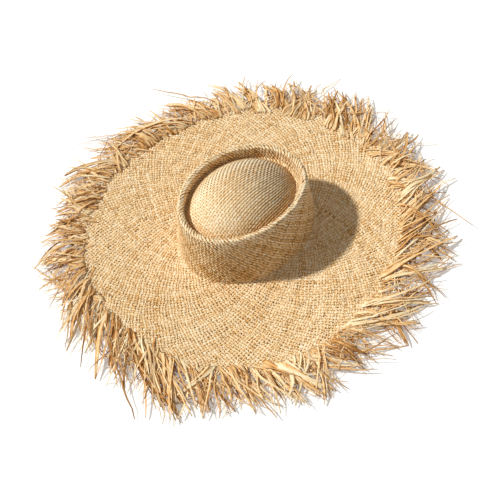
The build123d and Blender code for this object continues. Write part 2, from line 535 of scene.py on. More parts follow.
@dataclass(frozen=True)
class TapeFinish:
    """Ribbed cotton tape or thread, with a fine rib across or a twist along it."""

    name: str
    colour: Colour
    rib: float
    roughness: float = 0.85
    specular: float = 0.2
    bump: float = 0.6
    bump_height: float = 0.2 * MM
    groove_shade_share: float = 0.72
    rib_share: float = 0.6
    grain_scale: float = 1.7

    def build(self) -> Material:
        """Make the material."""
        material, table, shader = new_material(self.name)
        place = table.add("ShaderNodeUVMap", uv_map="strand").outputs[0]
        bands = {"Vector": place, "Scale": self.rib, "Distortion": 0.6, "Detail": 1.0}
        rib = table.add("ShaderNodeTexWave", bands, wave_type="BANDS", bands_direction="X")
        grain = table.add("ShaderNodeTexNoise", {"Vector": place, "Scale": self.rib * self.grain_scale})
        # Partly painted shade: the tape is drawn darker in the low bands of the rib, which are also the
        # bump's hollows; partly random grain.
        grooves_and_grain = table.maths("MULTIPLY_ADD", rib.outputs["Fac"], self.rib_share,
                            table.maths("MULTIPLY", grain.outputs["Fac"], 1 - self.rib_share))
        dark = tuple(channel * self.groove_shade_share for channel in self.colour)
        table.feed(shader, {
            "Base Color": table.ramp(grooves_and_grain, ((0.1, dark), (0.8, self.colour))),
            "Roughness": self.roughness,
            "Specular IOR Level": self.specular,
            "Normal": table.bump(rib.outputs["Fac"], self.bump, self.bump_height),
        })
        return material


WEAVE_FINISH = RaffiaFinish(
    "raffia_weave",
    ((0.0, (1.0, 0.93, 0.74)), (0.3, (0.99, 0.83, 0.56)), (0.6, (0.84, 0.50, 0.18)),
     (1.0, (0.28, 0.11, 0.025))),
)
FRINGE_FINISH = RaffiaFinish(
    "raffia_fringe",
    ((0.0, (1.0, 0.90, 0.64)), (0.35, (0.97, 0.74, 0.41)), (0.65, (0.81, 0.45, 0.16)),
     (1.0, (0.34, 0.135, 0.03))),
    fibres_across=7.0, streak_depth=0.5, blotch_depth=0.25, edge_shade_depth=0.34,
)
THREAD_FINISH = TapeFinish("straw_thread", (0.80, 0.62, 0.38), 900.0)
TAPE_FINISH = TapeFinish("cotton_tape", (0.66, 0.54, 0.36), 620.0)
COTTON_THREAD_FINISH = TapeFinish("cotton_thread", (0.78, 0.70, 0.54), 900.0)
TAB_FINISH = TapeFinish("tab_cloth", (0.84, 0.80, 0.70), 1400.0)


# ---- Weave of the crown and brim ----


@dataclass
class Band:
    """Stretch of rings of crossings with one number of strands in each family."""

    first: int
    last: int
    count: int
    starts: Array
    tones: dict[Family, Array]
    relax: float = 4.0

    def __post_init__(self) -> None:
        """Work out the even spacing that the strands settle to."""
        self.phase = float(np.mean(self.starts - np.arange(self.count) / self.count)) * self.count

    def place(self, index: Array, ring: Array) -> Array:
        """Turn of a crossing.

        Args:
            index: place in the ring, in crossings; halves lie on odd rings.
            ring: ring number, counted from the foot of the dome.

        Returns:
            Turns, in whole turns.
        """
        wrapped = np.mod(index, self.count)
        known = np.append(self.starts, self.starts[0] + 1)
        begun = np.interp(wrapped, np.arange(self.count + 1), known) + (index - wrapped) / self.count
        even = (index + self.phase) / self.count
        settled = smoothstep((ring - self.first) / self.relax)
        return begun * (1 - settled) + even * settled


@dataclass
class RingWeave:
    """Diagonal plain weave from the channel out to the woven edge.

    Rings of crossings follow one another outward. In each ring the same family lies on top, and
    the other one in the next. New strands are laid in at the start of each band on the brim.
    """

    form: HatForm
    crossing: float = 5.5 * MM
    brim_crossing: float = 6.0 * MM
    rings_in_band: int = 6
    swing: float = 0.7 * MM
    thickness: float = 1.3 * MM
    fill: float = 0.81
    usual_tone: float = 0.26
    # Painted shade: tone added to the strands on the side wall and down in the channel.
    crown_painted_shade: float = 0.13
    wall_variety: float = 0.5
    rib: float = 0.42 * MM
    # Painted light and shade: how much paler the raised rib strands and darker the sunk strands are
    # drawn.
    rib_painted_light_and_shade: float = 0.16
    rib_width: float = 0.06
    pinched: float = 0.06
    pinched_to: float = 0.55
    strand_spread: float = 0.07
    crossing_spread: float = 0.08
    sideways: float = 0.2 * MM
    seed: int = SEED
    rings: list[float] = field(default_factory=list)
    bands: list[Band] = field(default_factory=list)
    breaks: dict[str, int] = field(default_factory=dict)

    def __post_init__(self) -> None:
        """Lay out the rings and bands."""
        self.random = np.random.default_rng(self.seed)
        form = self.form
        wall_girth = form.girth(form.borders["wall"])
        count = round(wall_girth / self.crossing)
        run, edge = 0.0, form.borders["edge"]
        rings = [0.0]
        marks = {}
        while run < form.borders["break"] or len(rings) % 2 == 0:
            run += form.girth(run) / count / 2
            rings.append(run)
            for name in ("floor", "rim", "wall", "break"):
                if name not in marks and run >= form.borders[name]:
                    marks[name] = len(rings) - 1
        last = len(rings) - 1
        starts = np.arange(count) / count
        tones = {family: self._tones(count) for family in Family}
        self.bands.append(Band(0, last, count, starts, tones))
        while run < edge:
            inner = self.bands[-1]
            middle = form.girth(run + self.rings_in_band * self.brim_crossing / 4)
            starts, tones = self._grow(inner, round(middle / self.brim_crossing))
            count = len(starts)
            first = len(rings) - 1
            for _ in range(self.rings_in_band):
                run += form.girth(run) / count / 2
                rings.append(run)
            self.bands.append(Band(first, len(rings) - 1, count, starts, tones))
            if run + self.rings_in_band * self.brim_crossing / 4 > edge:
                break
        base = rings[last]
        stretch = (edge - base) / (rings[-1] - base)
        self.rings = [r if r <= base else base + (r - base) * stretch for r in rings]
        self.breaks = {"start": 0, **marks, "break": last, "edge": len(rings) - 1}
        log.info("rings %s, bands %s", self.breaks, [band.count for band in self.bands])

    def _tones(self, count: int) -> Array:
        """Tones of new strands: nearly all are pale."""
        tones = self.random.normal(self.usual_tone, 0.07, count)
        dark = self.random.random(count) < 0.006
        return np.clip(tones + dark * 0.22, 0, 1)

    def _grow(self, inner: Band, count: int) -> tuple[Array, dict[Family, Array]]:
        """Places and tones of the strands of a wider band, with new ones between old ones.

        Args:
            inner: the band before.
            count: strands wanted in each family.

        Returns:
            Turns of the strands at the first ring, and their tones by family.
        """
        extra = max(0, count - inner.count)
        cells = (np.arange(extra) + self.random.uniform(0.2, 0.8, extra)) * inner.count / max(1, extra)
        after = np.unique(np.floor(cells).astype(int))
        parents = np.sort(np.concatenate([np.arange(inner.count), after + 0.5]))
        starts = (parents + inner.phase) / inner.count
        half = (inner.last - inner.first) / 2
        tones = {}
        for family in Family:
            known = inner.tones[family]
            begun = np.mod(parents - family.value * half, inner.count)
            mine = known[np.floor(begun).astype(int) % inner.count].copy()
            fresh = parents % 1 != 0
            mine[fresh] = self._tones(int(fresh.sum()))
            tones[family] = mine
        return starts, tones

    def strands(self, band: Band, family: Family, first: int, last: int) -> tuple[Array, ...]:
        """Lines of one family's strands over some rings of a band.

        Args:
            band: band that holds the rings.
            family: which way the strands turn.
            first: ring to start at.
            last: ring to end at.

        Returns:
            Centres, normals, widths, thickness and tones.
        """
        steps = np.arange(2 * (last - first) + 1) / 2 + first
        names = np.arange(band.count)[:, None]
        index = names + family.value * (steps[None] - band.first) / 2
        ring = np.broadcast_to(steps, index.shape)
        run = np.interp(ring, np.arange(len(self.rings)), self.rings)
        turn = band.place(index, ring)
        span = band.place(index + 0.5, ring) - band.place(index - 0.5, ring)
        girth = oval_length(*self.form.oval(run)[:2])
        widths = span * girth / math.sqrt(2) * self.fill
        shape = np.random.default_rng(self.seed + band.first + family.value)
        widths = widths * (1 + shape.normal(0, self.strand_spread, (band.count, 1)))
        widths = widths * (1 + shape.normal(0, self.crossing_spread, index.shape))
        widths = widths * np.where(shape.random(index.shape) < self.pinched, self.pinched_to, 1.0)
        wander = shape.normal(0, 1, index.shape) * self.sideways / np.maximum(girth, 0.1)
        wander[:, 0] = wander[:, -1] = 0
        run, turn = self.form.settled(run, turn + wander)
        on_wall = self._past(run, "rim", -3, 10) - self._past(run, "wall", -4, 9)
        channel_shade_mask = 1 - self._past(run, "floor", 9, 8)
        ribbed = self._ribbed(run)
        tones = band.tones[family][:, None]
        tones = tones + (tones - self.usual_tone) * self.wall_variety * on_wall
        # Painted shade: strands on the side wall and down in the channel are drawn darker and more
        # golden, for the shade that falls there.
        tones = tones + self.crown_painted_shade * (on_wall + channel_shade_mask)
        tones = tones + shape.normal(0, self.strand_spread, index.shape)
        # Painted light and shade: where the weave is ribbed, the raised rising strands are drawn paler
        # and the sunk falling strands darker.
        tones = tones - self.rib_painted_light_and_shade * ribbed * family.value
        widths = widths * (1 + self.rib_width * ribbed * family.value)
        centres = self.form.point(run, turn)
        normals = self.form.normal(run, turn)
        height = family.value * (self.swing * np.cos(math.pi * ring) + self.rib * ribbed)
        centres = centres + normals * height[..., None]
        return centres, normals, widths, self.thickness, np.clip(tones, 0, 1)

    def _past(self, run: Array, border: str, start: float, width: float) -> Array:
        """0 before a border of the form, easing to 1 after it.

        Args:
            run: places, as distances along the profile.
            border: name of the border.
            start: how far after the border the easing begins, in millimetres.
            width: how long it takes, in millimetres.

        Returns:
            A value from 0 to 1 at each place.
        """
        return smoothstep((run - self.form.borders[border] - start * MM) / (width * MM))

    def _ribbed(self, run: Array) -> Array:
        """How far the rising family stands out as ribs: most on the roll, least on the brim."""
        roll, wall = 1 - self._past(run, "rim", 4, 14), 1 - self._past(run, "wall", -6, 14)
        return 0.6 * roll + 0.28 * wall + 0.12

    def piece(self, name: str, first: int, last: int,
              families: tuple[Family, ...], material: Material) -> Object:
        """Mesh of some rings of the weave."""
        mesh = StrandMesh(name)
        for band in self.bands:
            low, high = max(first, band.first), min(last, band.last)
            if low >= high:
                continue
            for family in families:
                mesh.add(*self.strands(band, family, low, high))
        return mesh.build(material)

    def build(self, material: Material) -> list[Object]:
        """Make and dress every piece of the ring weave."""
        made = []
        for name, node, start, end, families in (
            ("channel_weave", "crown_channel", "start", "floor", tuple(Family)),
            ("rolled_rim_weave", "crown_rolled_rim", "floor", "rim", tuple(Family)),
            ("side_wall_weave", "crown_side_wall", "rim", "wall", tuple(Family)),
            ("break_weave", "crown_break", "wall", "break", tuple(Family)),
            ("brim_rising_strands", "brim", "break", "edge", (Family.RISING,)),
            ("brim_falling_strands", "brim", "break", "edge", (Family.FALLING,)),
        ):
            piece = self.piece(name, self.breaks[start], self.breaks[end], families, material)
            made.append(dress(piece, "raffia_weave", node))
        return made


@dataclass
class DomeWeave:
    """Plain weave over the dome in the middle of the crown, ribbed along its length."""

    form: HatForm
    pitch: float = 3.5 * MM
    swing: float = 0.42 * MM
    rib: float = 0.6 * MM
    thickness: float = 1.35 * MM
    fill: float = 0.81
    sweep: float = 1.6 * MM
    drawn_in_behind: float = 0.36
    drawn_in_front: float = 0.14
    bow: float = 19.0 * MM
    usual_tone: float = 0.18
    # Painted shade: how much darker the sunk crosswise strands are drawn than the raised ribs.
    rib_shade_contrast: float = 0.37
    rib_shade: float = 0.34
    foot_shade: float = 0.2
    narrowed: float = 0.24
    seed: int = SEED + 5

    def __post_init__(self) -> None:
        """Work out how far it is over the dome, and where each distance comes down in plan."""
        self.short, self.long, self.foot = self.form.stations[0, :3]
        self.rise = self.form.dome_top - self.form.straw / 2 - self.foot
        self.ball = (self.short**2 + self.rise**2) / (2 * self.rise)
        self.plan = 1 - np.linspace(1, 0, 400) ** 2
        height = self.rise * self._height(self.plan)
        self.shares, self.reaches = [], []
        for half_length in (self.short, self.long):
            steps = np.hypot(np.diff(self.plan * half_length), np.diff(height))
            total = np.concatenate([[0], np.cumsum(steps)])
            self.reaches.append(float(total[-1]))
            self.shares.append(total / total[-1])
        self.share = (self.shares[0] + self.shares[1]) / 2

    def _height(self, plan: Array) -> Array:
        """Height of the dome as a share of its rise, by share of the way out in plan."""
        level = np.sqrt(self.ball**2 - (np.clip(plan, 0, 1) * self.short) ** 2)
        return (level - self.ball + self.rise) / self.rise

    def shares_out(self, cross: Array, lengthwise: Array) -> tuple[Array, Array]:
        """Distances across and lengthwise as shares of the way to the dome's foot."""
        return cross / self.reaches[0], lengthwise / self.reaches[1]

    def point(self, cross: Array, lengthwise: Array) -> Array:
        """Points on the dome from distances over its surface across and lengthwise."""
        a, b = self.shares_out(cross, lengthwise)
        out = np.hypot(a, b)
        plan = np.interp(np.minimum(out, 1), self.share, self.plan)
        ratio = plan / np.maximum(out, 1e-9)
        x, y = self.short * a * ratio, self.long * b * ratio
        z = self.foot + self.rise * self._height(plan)
        angle = np.arctan2(b, a)
        tilt = (self.form.saddle * np.cos(2 * angle) * plan**2
                - self.form.front_rise * np.sin(angle) * plan)
        x, y = x + self.form.dome_offset[0], y + self.form.dome_offset[1]
        return np.stack([x, y, z + tilt * z / self.form.height], axis=-1)

    def normal(self, cross: Array, lengthwise: Array) -> Array:
        """Directions off the dome, upward and outward."""
        step = 0.3 * MM
        first = self.point(cross + step, lengthwise) - self.point(cross - step, lengthwise)
        second = self.point(cross, lengthwise + step) - self.point(cross, lengthwise - step)
        return unit(np.cross(first, second))

    def shaped(self, cross: Array, lengthwise: Array) -> Array:
        """Distance across once shaping has drawn the strands in and swept them to one side."""
        a, b = self.shares_out(cross, lengthwise)
        drawn_in = np.where(b > 0, self.drawn_in_behind, self.drawn_in_front) * b**2
        swept = smoothstep((0.2 - b) / 1.1) * smoothstep((a + 0.6) / 1.3)
        return cross * (1 - drawn_in) + self.bow * swept

    def span(self, place: float, lengthwise: bool) -> Array:
        """Distances along a strand at which it lies on the dome, closely spaced.

        Args:
            place: distance of the strand from the dome's middle line.
            lengthwise: whether it runs along the dome or across it.

        Returns:
            The distances, from one foot of the dome to the other.
        """
        along = np.linspace(-1.4, 1.4, 1401) * self.reaches[1 if lengthwise else 0]
        pair = (place + 0 * along, along) if lengthwise else (along, place + 0 * along)
        return along[np.hypot(*self.shares_out(self.shaped(*pair), pair[1])) < 1]

    def build(self, material: Material) -> Object:
        """Make and dress the dome."""
        random = np.random.default_rng(self.seed)
        mesh = StrandMesh("dome_weave")
        for lengthwise in (True, False):
            most = int(self.reaches[0 if lengthwise else 1] / self.pitch)
            for line in range(-most, most + 1):
                place = line * self.pitch
                ends = self.span(place, lengthwise) / self.pitch
                if len(ends) < 2 or ends[-1] - ends[0] < 4:
                    continue
                steps = np.arange(math.ceil(2 * ends[0]), math.floor(2 * ends[-1]) + 1) / 2
                steps = np.concatenate([ends[:1], steps, ends[-1:]])
                along = steps * self.pitch
                beside = place + random.normal(0, 0.16, len(steps)) * MM
                beside = beside + self.sweep * np.sin(along * 42 + line * 0.05 + 0.4)
                sign = 1 if lengthwise else -1
                pair = (beside, along) if lengthwise else (along, beside)
                step = 0.1 * MM
                close = (self.shaped(pair[0] + step, pair[1])
                         - self.shaped(pair[0] - step, pair[1])) / (2 * step)
                pair = (self.shaped(*pair), pair[1])
                stood = 0.5 + 0.5 * np.clip(pair[1] / self.reaches[1] * 1.8, -1, 1)
                out = np.hypot(*self.shares_out(*pair))
                swing = self.swing * (1 + 0.5 * stood)
                height = sign * (swing * np.cos(math.pi * (steps + line)) + self.rib * stood)
                normals = self.normal(*pair)
                centres = self.point(*pair) + normals * height[:, None]
                width = self.pitch * self.fill * (1 + random.normal(0, 0.07))
                widths = width * (1 + random.normal(0, 0.09, (1, len(steps))))
                tones = self.usual_tone + random.normal(0, 0.06)
                tones = tones + random.normal(0, 0.05, (1, len(steps)))
                # Painted shade: towards the back, where the lengthwise ribs stand up, the sunk crosswise
                # strands are drawn much darker than the ribs, and strands near the dome's foot are drawn
                # darker, for the shade down by the channel.
                tones = tones + (self.rib_shade - self.rib_shade_contrast * sign) * stood
                tones = tones + self.foot_shade * smoothstep((out - 0.7) / 0.3)
                widths = widths * (1 - self.narrowed * stood) * (close if lengthwise else 1.0)
                mesh.add(centres[None], normals[None], widths, self.thickness, np.clip(tones, 0, 1))
        return dress(mesh.build(material), "raffia_weave", "crown_tip_dome")


# ---- Fringe ----

@dataclass(frozen=True)
class Parting:
    """A place round the edge where the combed ends part and stand nearly straight out."""

    place: float
    width: float
    share_lost: float


@dataclass(frozen=True)
class FringeComb:
    """How the fringe is combed: all one way, with two partings, and longer on one side.

    Places are degrees from +X, slants are degrees from straight out, and the reach is how far
    the ends come past the woven edge. A few waves of random phase leave the outline ragged.
    """

    usual_slant: float = 40.0
    slant_wave: float = 8.0
    usual_reach: float = 70.0 * MM
    longer_by: float = 8.0 * MM
    longest_side: float = -20.0
    ragged: float = 4.0 * MM
    waves: tuple[int, ...] = (4, 7, 11)
    partings: tuple[Parting, ...] = (Parting(-135.0, 15.0, 0.8), Parting(125.0, 15.0, 0.8))
    deep_place: float = 85.0
    deep_width: float = 45.0
    deep_more: float = 1.7
    seed: int = SEED + 23

    @staticmethod
    def near(turn: Array, place: float, width: float) -> Array:
        """1 at a place round the edge, falling away to 0 over a width, both in degrees."""
        away = np.mod(turn - place / 360 + 0.5, 1) - 0.5
        return np.exp(-((away * 360 / width) ** 2))

    def slant(self, turn: Array) -> Array:
        """Slant in degrees at places round the edge, in whole turns."""
        kept = 1 + 0 * turn
        for parting in self.partings:
            kept = kept * (1 - parting.share_lost * self.near(turn, parting.place, parting.width))
        return (self.usual_slant + self.slant_wave * np.sin(3 * TAU * turn)) * kept

    def reach(self, turn: Array) -> Array:
        """Reach past the woven edge at places round it."""
        phases = np.random.default_rng(self.seed).uniform(0, TAU, len(self.waves))
        side = np.cos(TAU * turn - math.radians(self.longest_side))
        reach = self.usual_reach + self.longer_by * side
        for wave, phase in zip(self.waves, phases):
            reach = reach + self.ragged * np.sin(wave * TAU * turn + phase)
        return reach

    def depth(self, turn: Array) -> Array:
        """How many times deeper in the brim the ends start, at places round the edge."""
        return 1 + self.deep_more * self.near(turn, self.deep_place, self.deep_width)


@dataclass
class LooseEnds:
    """Loose ends of raffia of one kind: where they leave the weave and how they lie.

    Every field but the last holds one value for each end. The spine is the last point that bends
    the end, and the tip is where it stops; both are worked out where they aren't given.
    """

    turn: Array
    start_slant: Array
    end_slant: Array
    length: Array
    width: Array
    tone: Array
    lift: Array
    tip_height: Array
    inset: Array
    curl: Array
    spine: Array | None = None
    tip: Array | None = None
    wiggle: float = 0.006


@dataclass(frozen=True)
class StrayKind:
    """A kind of single ends that go their own way.

    Lean is the share of the comb's slant that they follow, and scatter spreads their slants,
    in degrees. Lengths are shares of the fringe's reach. Insets are how far inside the edge they
    start, in millimetres. Lift is how far their middle rises, and wiggle how crooked they are.
    """

    count: int
    lean: float
    scatter: float
    lengths: tuple[float, float]
    width: float
    insets: tuple[float, float]
    lift: float
    wiggle: float = 0.008


@dataclass
class Fringe:
    """Loose raffia ends round the woven edge: a comb of short ends under longer swept locks."""

    weave: RingWeave
    comb: FringeComb = FringeComb()
    tuft_count: int = 36
    lock_count: int = 70
    strands_in_lock: tuple[int, int] = (5, 11)
    sheaf_count: int = 84
    lock_root: float = 8.0 * MM
    lock_waist: float = 3.0 * MM
    end_width: float = 3.2 * MM
    thickness: float = 0.45 * MM
    steps: int = 13
    floor_clearance: float = 0.7 * MM
    most_wander: float = 4.0
    root_hold: float = 0.24
    tip_hold: float = 0.36
    steepest: float = 78.0
    sheaf_room: float = 0.13
    stray_kinds: tuple[StrayKind, ...] = (
        StrayKind(170, 0.8, 24, (0.5, 1.0), 2.2 * MM, (0, 3), 6 * MM),
        StrayKind(560, 0.2, 48, (0.4, 0.98), 1.4 * MM, (0, 3), 3 * MM, 0.016),
        StrayKind(40, 1.2, 10, (0.85, 1.05), 2.6 * MM, (0, 4), 8 * MM),
        StrayKind(26, 0.9, 26, (0.3, 0.7), 2.4 * MM, (4, 20), 2 * MM),
    )
    seed: int = SEED + 11

    def __post_init__(self) -> None:
        """Start the random numbers."""
        self.random = np.random.default_rng(self.seed)
        self.form = self.weave.form

    def axes(self, turn: Array, inset: Array | float = 0.0) -> tuple[Array, ...]:
        """Edge points with their outward and sideways directions, level with the floor."""
        run = self.form.borders["edge"] - inset + 0 * turn
        here = self.form.point(run, turn)
        side = self.form.point(run, turn + 1e-3) - self.form.point(run, turn - 1e-3)
        side[..., 2] = 0
        side = unit(side)
        out = np.stack([side[..., 1], -side[..., 0], 0 * side[..., 0]], axis=-1)
        return here, out, side

    def kept_in(self, turn: Array, slant: Array, length: Array) -> Array:
        """Lengths cut back until no tip lies farther out than the fringe reaches there.

        Args:
            turn: where the ends leave the edge.
            slant: their slants in degrees.
            length: their lengths.

        Returns:
            The new lengths.
        """
        root, out, side = self.axes(turn)
        ahead = self.aim(out, side, slant)
        edge = self.form.stations[-1]
        for _ in range(24):
            tip = root + ahead * length[:, None]
            across, along = tip[:, 0] / edge[0], (tip[:, 1] - edge[3]) / edge[1]
            reach = self.comb.reach(np.arctan2(along, across) / TAU)
            past = (np.hypot(across, along) - 1) * (edge[0] + edge[1]) / 2
            length = np.where(past > reach, 0.94 * length, length)
        return length

    @staticmethod
    def aim(out: Array, side: Array, degrees: Array) -> Array:
        """Level directions at slants from straight out."""
        angle = np.radians(degrees)[:, None]
        return out * np.cos(angle) + side * np.sin(angle)

    def lines(self, ends: LooseEnds) -> Array:
        """Centre lines of loose ends, ends x steps x 3."""
        root, out, side = self.axes(ends.turn, ends.inset)
        length = ends.length[:, None]
        begin = self.aim(out, side, ends.start_slant)
        finish = self.aim(out, side, ends.end_slant)
        tip = root + finish * length if ends.tip is None else ends.tip
        first = root + begin * length * self.root_hold
        if ends.spine is None:
            late = self.aim(out, side, ends.end_slant * 1.15)
            second = tip - late * length * self.tip_hold
        else:
            second = ends.spine
        t = np.linspace(0, 1, self.steps)[None, :, None]
        line = ((1 - t) ** 3 * root[:, None] + 3 * (1 - t) ** 2 * t * first[:, None]
                + 3 * (1 - t) * t**2 * second[:, None] + t**3 * tip[:, None])
        share = t[..., 0]
        noise = np.cumsum(self.random.normal(0, 1, (2, len(ends.turn), self.steps)), axis=2)
        noise = np.clip(noise - noise[..., :1], -self.most_wander, self.most_wander)
        noise = noise * ends.length[:, None] * ends.wiggle
        crosswise = np.cross(UP, finish)
        lateral = noise[0] + ends.curl[:, None] * ends.length[:, None] * share**2.6
        line += lateral[..., None] * crosswise[:, None]
        above = np.where(ends.inset > 1.5 * MM, 1.4 * MM, 0.0)[:, None] * (1 - share) ** 0.5
        rise = ends.lift[:, None] * 3.6 * share * (1 - share) ** 1.1
        level = root[:, None, 2] * (1 - share) ** 0.8 + ends.tip_height[:, None] * share**0.8
        line[..., 2] = np.maximum(level + above + rise + 0.5 * noise[1], self.floor_clearance)
        return line

    def edge_strands(self, kept: float) -> Array:
        """Turns at which strands of the weave reach the edge, less a few that broke off."""
        band = self.weave.bands[-1]
        last = float(self.weave.breaks["edge"])
        index = np.arange(band.count) + 0.5 * (last - band.first) % 1
        turn = np.mod(band.place(index, np.full(band.count, last)), 1)
        return turn[self.random.random(band.count) < kept]

    def sheaves(self, family: Family, kept: float, shares: tuple[float, float]) -> LooseEnds:
        """Long ends of one family, combed the same way and drawn together into sheaves.

        Args:
            family: which strands of the weave run on.
            kept: share of them that are long.
            shares: shortest and longest, as shares of the fringe's reach there.

        Returns:
            The ends.
        """
        random = self.random
        turn = self.edge_strands(kept)
        count = len(turn)
        slant = self.comb.slant(turn)
        slant = slant + 7 * np.sin(TAU * 37 * turn + 1.0) + 5 * np.sin(TAU * 61 * turn)
        slant = np.clip(slant + random.normal(0, 13, count), -45, 74)
        length = self.kept_in(turn, slant, np.full(count, self.sheaf_room))
        length = length * random.uniform(*shares, count)
        middles = np.sort(random.random(self.sheaf_count))
        away = np.mod(middles[None] - turn[:, None] + 0.5, 1) - 0.5
        nearest = turn + away[np.arange(count), np.abs(away).argmin(axis=1)]
        inset = random.uniform(0.3, 7.5, count) * self.comb.depth(turn) ** 0.6 * MM
        foot, out, side = self.axes(turn, inset)
        pull = (self.axes(nearest, inset)[0] - foot) * random.uniform(0.2, 0.85, count)[:, None]
        ahead = self.aim(out, side, slant) * length[:, None]
        loose = random.normal(0, 1, (count, 3)) * np.array([1, 1, 0.3]) * MM
        tone = 0.34 + 0.11 * np.sin(TAU * 23 * turn) + random.normal(0, 0.18, count)
        tone = tone + 0.22 * (random.random(count) < 0.1)
        return LooseEnds(
            turn, slant * 0.72 + family.value * 11, slant, length,
            self.end_width * random.lognormal(-0.38, 0.38, count), np.clip(tone, 0, 1),
            random.uniform(1.0, 6.0, count) * MM, random.uniform(0.8, 9.0, count) * MM, inset,
            random.normal(0, 0.03, count), foot + 0.62 * ahead + 0.8 * pull + loose,
            foot + ahead + pull + 1.6 * loose, 0.004)

    def short_comb(self, family: Family) -> LooseEnds:
        """Short ends that run straight on from one family of strands at the woven edge."""
        random = self.random
        turn = self.edge_strands(0.85)
        count = len(turn)
        slant = self.comb.slant(turn)
        end = family.value * 36 + slant * 0.15 + random.normal(0, 9, count)
        return LooseEnds(
            turn, family.value * 44 + random.normal(0, 5, count), end,
            random.gamma(6.0, 4.6, count) * MM, self.end_width * random.uniform(0.55, 0.9, count),
            np.clip(random.normal(0.4, 0.17, count), 0, 1),
            random.uniform(-0.5, 3.0, count) * MM, random.uniform(0.6, 4.0, count) * MM,
            (2.2 + 1.8 * np.sin(TAU * 97 * turn)) * MM, random.normal(0, 0.1, count))

    def locks(self) -> LooseEnds:
        """Swept locks: ends that draw together to a waist and run on to an uneven point."""
        random, locks = self.random, self.lock_count
        middle = np.mod((np.arange(locks) + random.uniform(-0.45, 0.45, locks)) / locks, 1)
        sizes = random.integers(*self.strands_in_lock, locks)
        slant, reach = self.comb.slant(middle), self.comb.reach(middle)
        crosswise = random.random(locks) < 0.22
        slant = np.where(crosswise, random.normal(-26, 12, locks),
                         slant + random.normal(0, 11, locks))
        slant = np.clip(slant, -60, 74)
        length = reach / np.maximum(np.cos(np.radians(slant)), 0.42)
        length = self.kept_in(middle, slant * 1.12, length)
        length *= random.uniform(0.85, 1.05, locks)
        inset = random.uniform(-1, 9, locks) * self.comb.depth(middle) * MM
        tone = random.normal(0.35, 0.17, locks)
        lift = random.uniform(1.0, 9.0, locks) * MM
        curl = random.normal(0, 0.06, locks)
        foot, out, side = self.axes(middle, inset)
        pick = np.repeat(np.arange(locks), sizes)
        count = len(pick)
        spread = random.normal(0, 1, count) * self.lock_root / self.form.girth(self.form.borders["edge"])
        share = random.uniform(0.7, 1.0, count)
        drawn = self.aim(out, side, slant * 0.92)[pick]
        late = self.aim(out, side, np.clip(slant * 1.12, -70, 84))[pick]
        loose = random.normal(0, 1, (count, 3)) * np.array([1, 1, 0.3])
        spine = foot[pick] + drawn * (length[pick] * share * 0.62)[:, None] + loose * self.lock_waist
        tip = foot[pick] + late * (length[pick] * share)[:, None] + loose * self.lock_waist * 2.1
        start = np.where(random.random(count) < 0.7, 40, -20) + random.normal(0, 8, count)
        return LooseEnds(
            np.mod(middle[pick] + spread, 1), start * 0.35 + slant[pick] * 0.65, slant[pick],
            length[pick] * share, self.end_width * random.lognormal(-0.2, 0.32, count),
            np.clip(tone[pick] + random.normal(0, 0.12, count), 0, 1),
            lift[pick] * random.uniform(0.6, 1.3, count),
            np.clip(random.normal(4.0, 3.0, count), 0.7, 12) * MM,
            np.maximum(inset[pick] + random.normal(0, 1.2, count) * MM, 0.3 * MM),
            curl[pick] + random.normal(0, 0.03, count), spine, tip)

    def strays(self, kind: StrayKind) -> LooseEnds:
        """Single ends of one kind."""
        random, count = self.random, kind.count
        turn = random.random(count)
        slant = self.comb.slant(turn) * kind.lean + random.normal(0, kind.scatter, count)
        slant = np.clip(slant, -self.steepest, self.steepest)
        length = self.comb.reach(turn) / np.maximum(np.cos(np.radians(slant)), 0.4)
        length = self.kept_in(turn, slant, length) * random.uniform(*kind.lengths, count)
        return LooseEnds(
            turn, slant * 0.6 + random.normal(0, 14, count), slant,
            length, kind.width * random.uniform(0.6, 1.3, count),
            np.clip(random.normal(0.4, 0.2, count), 0, 1),
            kind.lift * random.uniform(0.2, 1.3, count),
            np.clip(random.normal(5.0, 4.0, count), 0.7, 14) * MM,
            random.uniform(*kind.insets, count) * MM,
            np.clip(random.normal(0, 0.2, count), -0.3, 0.3), wiggle=kind.wiggle)

    def build(self, material: Material) -> list[Object]:
        """Make and dress one piece for each stretch of the edge."""
        random = self.random
        share = np.linspace(0, 1, self.steps)[None]
        meshes = [StrandMesh(f"fringe_{number + 1:02d}_raffia") for number in range(self.tuft_count)]
        groups = [
            self.short_comb(Family.RISING), self.short_comb(Family.FALLING),
            self.sheaves(Family.RISING, 0.6, (0.5, 1.05)),
            self.sheaves(Family.FALLING, 0.34, (0.45, 1.05)), self.locks(),
            *[self.strays(kind) for kind in self.stray_kinds],
        ]
        for ends in groups:
            count = len(ends.turn)
            line = self.lines(ends)
            swell = 1 + 0.12 * np.sin(share * 9 + random.uniform(0, TAU, (count, 1)))
            widths = ends.width[:, None] * swell * (1 - 0.6 * share**6)
            twist = (random.normal(0, 0.25, (count, 1))
                     + random.normal(0, 0.5, (count, 1)) * share
                     + 0.2 * np.sin(share * 7 + random.uniform(0, TAU, (count, 1))))
            tangent = unit(np.gradient(line, axis=1))
            side = unit(np.cross(UP, tangent))
            flat = np.cross(tangent, side)
            normals = flat * np.cos(twist)[..., None] + side * np.sin(twist)[..., None]
            tones = ends.tone[:, None] + 0.16 * (share - 0.4) * random.normal(0.3, 1, (count, 1))
            sector = np.floor(ends.turn * self.tuft_count).astype(int) % self.tuft_count
            for number in range(self.tuft_count):
                chosen = sector == number
                if chosen.any():
                    meshes[number].add(line[chosen], normals[chosen], widths[chosen],
                                       self.thickness, np.clip(tones[chosen], 0, 1))
        return [dress(mesh.build(material), "raffia_fringe", f"fringe_tuft_{number + 1:02d}")
                for number, mesh in enumerate(meshes)]


# ---- Sewn pieces ----


